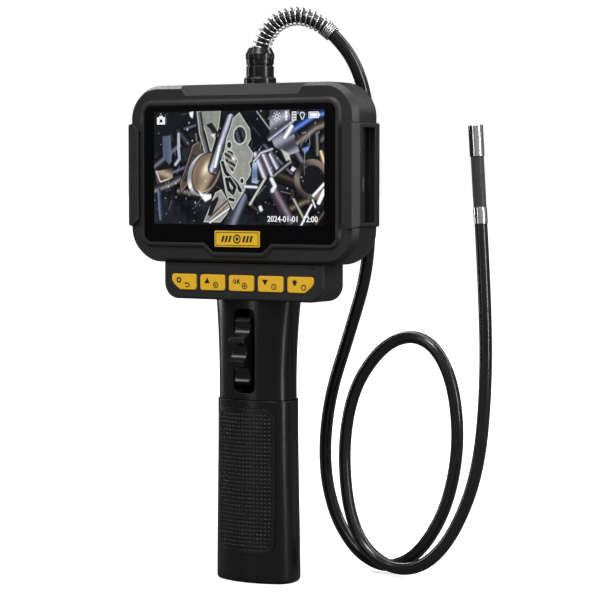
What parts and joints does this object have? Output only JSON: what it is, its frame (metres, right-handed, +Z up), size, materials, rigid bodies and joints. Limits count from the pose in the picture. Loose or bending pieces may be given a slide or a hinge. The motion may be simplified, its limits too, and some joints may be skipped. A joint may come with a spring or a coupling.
{
  "type": "inspection camera",
  "caption": "Hand-held inspection camera: a screen head with a keypad on a pistol grip, a thumb lever, and a flexible insertion tube with a steerable camera tip.",
  "frame": {"origin": "centre of the handle's base, on the surface that the camera stands on", "axes": "+X along the screen's width to the viewer's right, -Y out of the screen, +Z up the handle"},
  "size_m": [0.2015, 0.0829, 0.317],
  "materials": {
    "housing": "fine spark texture",
    "handle_plastic": "satin",
    "grip_rubber": "moulded dimples",
    "key_yellow": "satin",
    "name_plate": "satin",
    "screen_glass": "polished",
    "display": "smooth",
    "circuit_board": "solder mask",
    "steel": "bright",
    "bronze": "sintered",
    "cell_wrap": "shrink wrap",
    "wiring": "smooth",
    "holder_plastic": "plain",
    "tube_skin": "polished skin",
    "sleeve_mesh": "braided",
    "chrome": "polished"
  },
  "bodies": {
    "root": {"display_bezel": "housing", "display_rear_cover": "housing", "left_bumper": "housing", "right_bumper": "housing", "port_tray": "housing", "keypad_front_cover": "housing", "keypad_rear_cover": "housing", "handle_front_shell": "handle_plastic", "handle_rear_shell": "handle_plastic", "grip_sleeve": "handle_plastic", "base_cap": "handle_plastic", "gland_collar": "handle_plastic", "gland_body": "handle_plastic", "gland_nut": "handle_plastic", "gland_locknut": "handle_plastic", "grip_pad": "grip_rubber", "housing_gasket": "grip_rubber", "gland_seal": "grip_rubber", "key_mat": "grip_rubber", "name_badge": "name_plate", "screen_window": "screen_glass", "lcd_panel": "display", "main_board": "circuit_board", "key_board": "circuit_board", "ribbon_cable": "circuit_board", "card_slot": "circuit_board", "lcd_bracket": "steel", "case_screws": "steel", "lever_shaft": "steel", "lever_bracket": "steel", "pull_wires": "steel", "usb_c_port": "steel", "strain_spring": "steel", "shaft_bushes": "bronze", "battery_cells": "cell_wrap", "battery_wiring": "wiring", "battery_holder": "holder_plastic", "insertion_tube": "tube_skin", "sleeve_segment_0": "sleeve_mesh", "rear_ferrule": "chrome"},
    "key_menu": {"key_menu": "key_yellow"},
    "key_up": {"key_up": "key_yellow"},
    "key_ok": {"key_ok": "key_yellow"},
    "key_down": {"key_down": "key_yellow"},
    "key_light": {"key_light": "key_yellow"},
    "thumb_lever": {"thumb_lever": "handle_plastic", "cable_drum": "handle_plastic"},
    "tip_link_1": {"bending_link_1": "steel", "sleeve_segment_1": "sleeve_mesh"},
    "tip_link_2": {"bending_link_2": "steel", "sleeve_segment_2": "sleeve_mesh"},
    "tip_link_3": {"bending_link_3": "steel", "sleeve_segment_3": "sleeve_mesh"},
    "tip_link_4": {"bending_link_4": "steel", "sleeve_segment_4": "sleeve_mesh"},
    "tip_head": {"sleeve_segment_5": "sleeve_mesh", "tip_capsule": "chrome", "lens_window": "screen_glass", "led_ring": "holder_plastic", "camera_module": "steel"}
  },
  "joints": [
    {"name": "press_menu", "type": "slide", "parent": "root", "child": "key_menu", "axis": [0, 1, 0], "range_m": [0, 0.0006], "stiffness_N_per_m": 1500},
    {"name": "press_up", "type": "slide", "parent": "root", "child": "key_up", "axis": [0, 1, 0], "range_m": [0, 0.0006], "stiffness_N_per_m": 1500},
    {"name": "press_ok", "type": "slide", "parent": "root", "child": "key_ok", "axis": [0, 1, 0], "range_m": [0, 0.0006], "stiffness_N_per_m": 1500},
    {"name": "press_down", "type": "slide", "parent": "root", "child": "key_down", "axis": [0, 1, 0], "range_m": [0, 0.0006], "stiffness_N_per_m": 1500},
    {"name": "press_light", "type": "slide", "parent": "root", "child": "key_light", "axis": [0, 1, 0], "range_m": [0, 0.0006], "stiffness_N_per_m": 1500},
    {"name": "lever_tilt", "type": "hinge", "parent": "root", "child": "thumb_lever", "pos_m": [0, 0, 0.1285], "axis": [1, 0, 0], "range_deg": [-30, 30]},
    {"name": "tip_bend_1", "type": "hinge", "parent": "root", "child": "tip_link_1", "pos_m": [0.11823, 0.0355, 0.21053], "axis": [0, 1, 0], "range_deg": [-18, 18]},
    {"name": "tip_bend_2", "type": "hinge", "parent": "tip_link_1", "child": "tip_link_2", "pos_m": [0.11786, 0.0355, 0.21604], "axis": [0, 1, 0], "range_deg": [-18, 18]},
    {"name": "tip_bend_3", "type": "hinge", "parent": "tip_link_2", "child": "tip_link_3", "pos_m": [0.1175, 0.0355, 0.22155], "axis": [0, 1, 0], "range_deg": [-18, 18]},
    {"name": "tip_bend_4", "type": "hinge", "parent": "tip_link_3", "child": "tip_link_4", "pos_m": [0.11713, 0.0355, 0.22706], "axis": [0, 1, 0], "range_deg": [-18, 18]},
    {"name": "tip_bend_5", "type": "hinge", "parent": "tip_link_4", "child": "tip_head", "pos_m": [0.11676, 0.0355, 0.23257], "axis": [0, 1, 0], "range_deg": [-18, 18]}
  ],
  "couplings": [
    {"joint": "tip_bend_1", "follows": "lever_tilt", "ratio": 0.6},
    {"joint": "tip_bend_2", "follows": "lever_tilt", "ratio": 0.6},
    {"joint": "tip_bend_3", "follows": "lever_tilt", "ratio": 0.6},
    {"joint": "tip_bend_4", "follows": "lever_tilt", "ratio": 0.6},
    {"joint": "tip_bend_5", "follows": "lever_tilt", "ratio": 0.6}
  ]
}
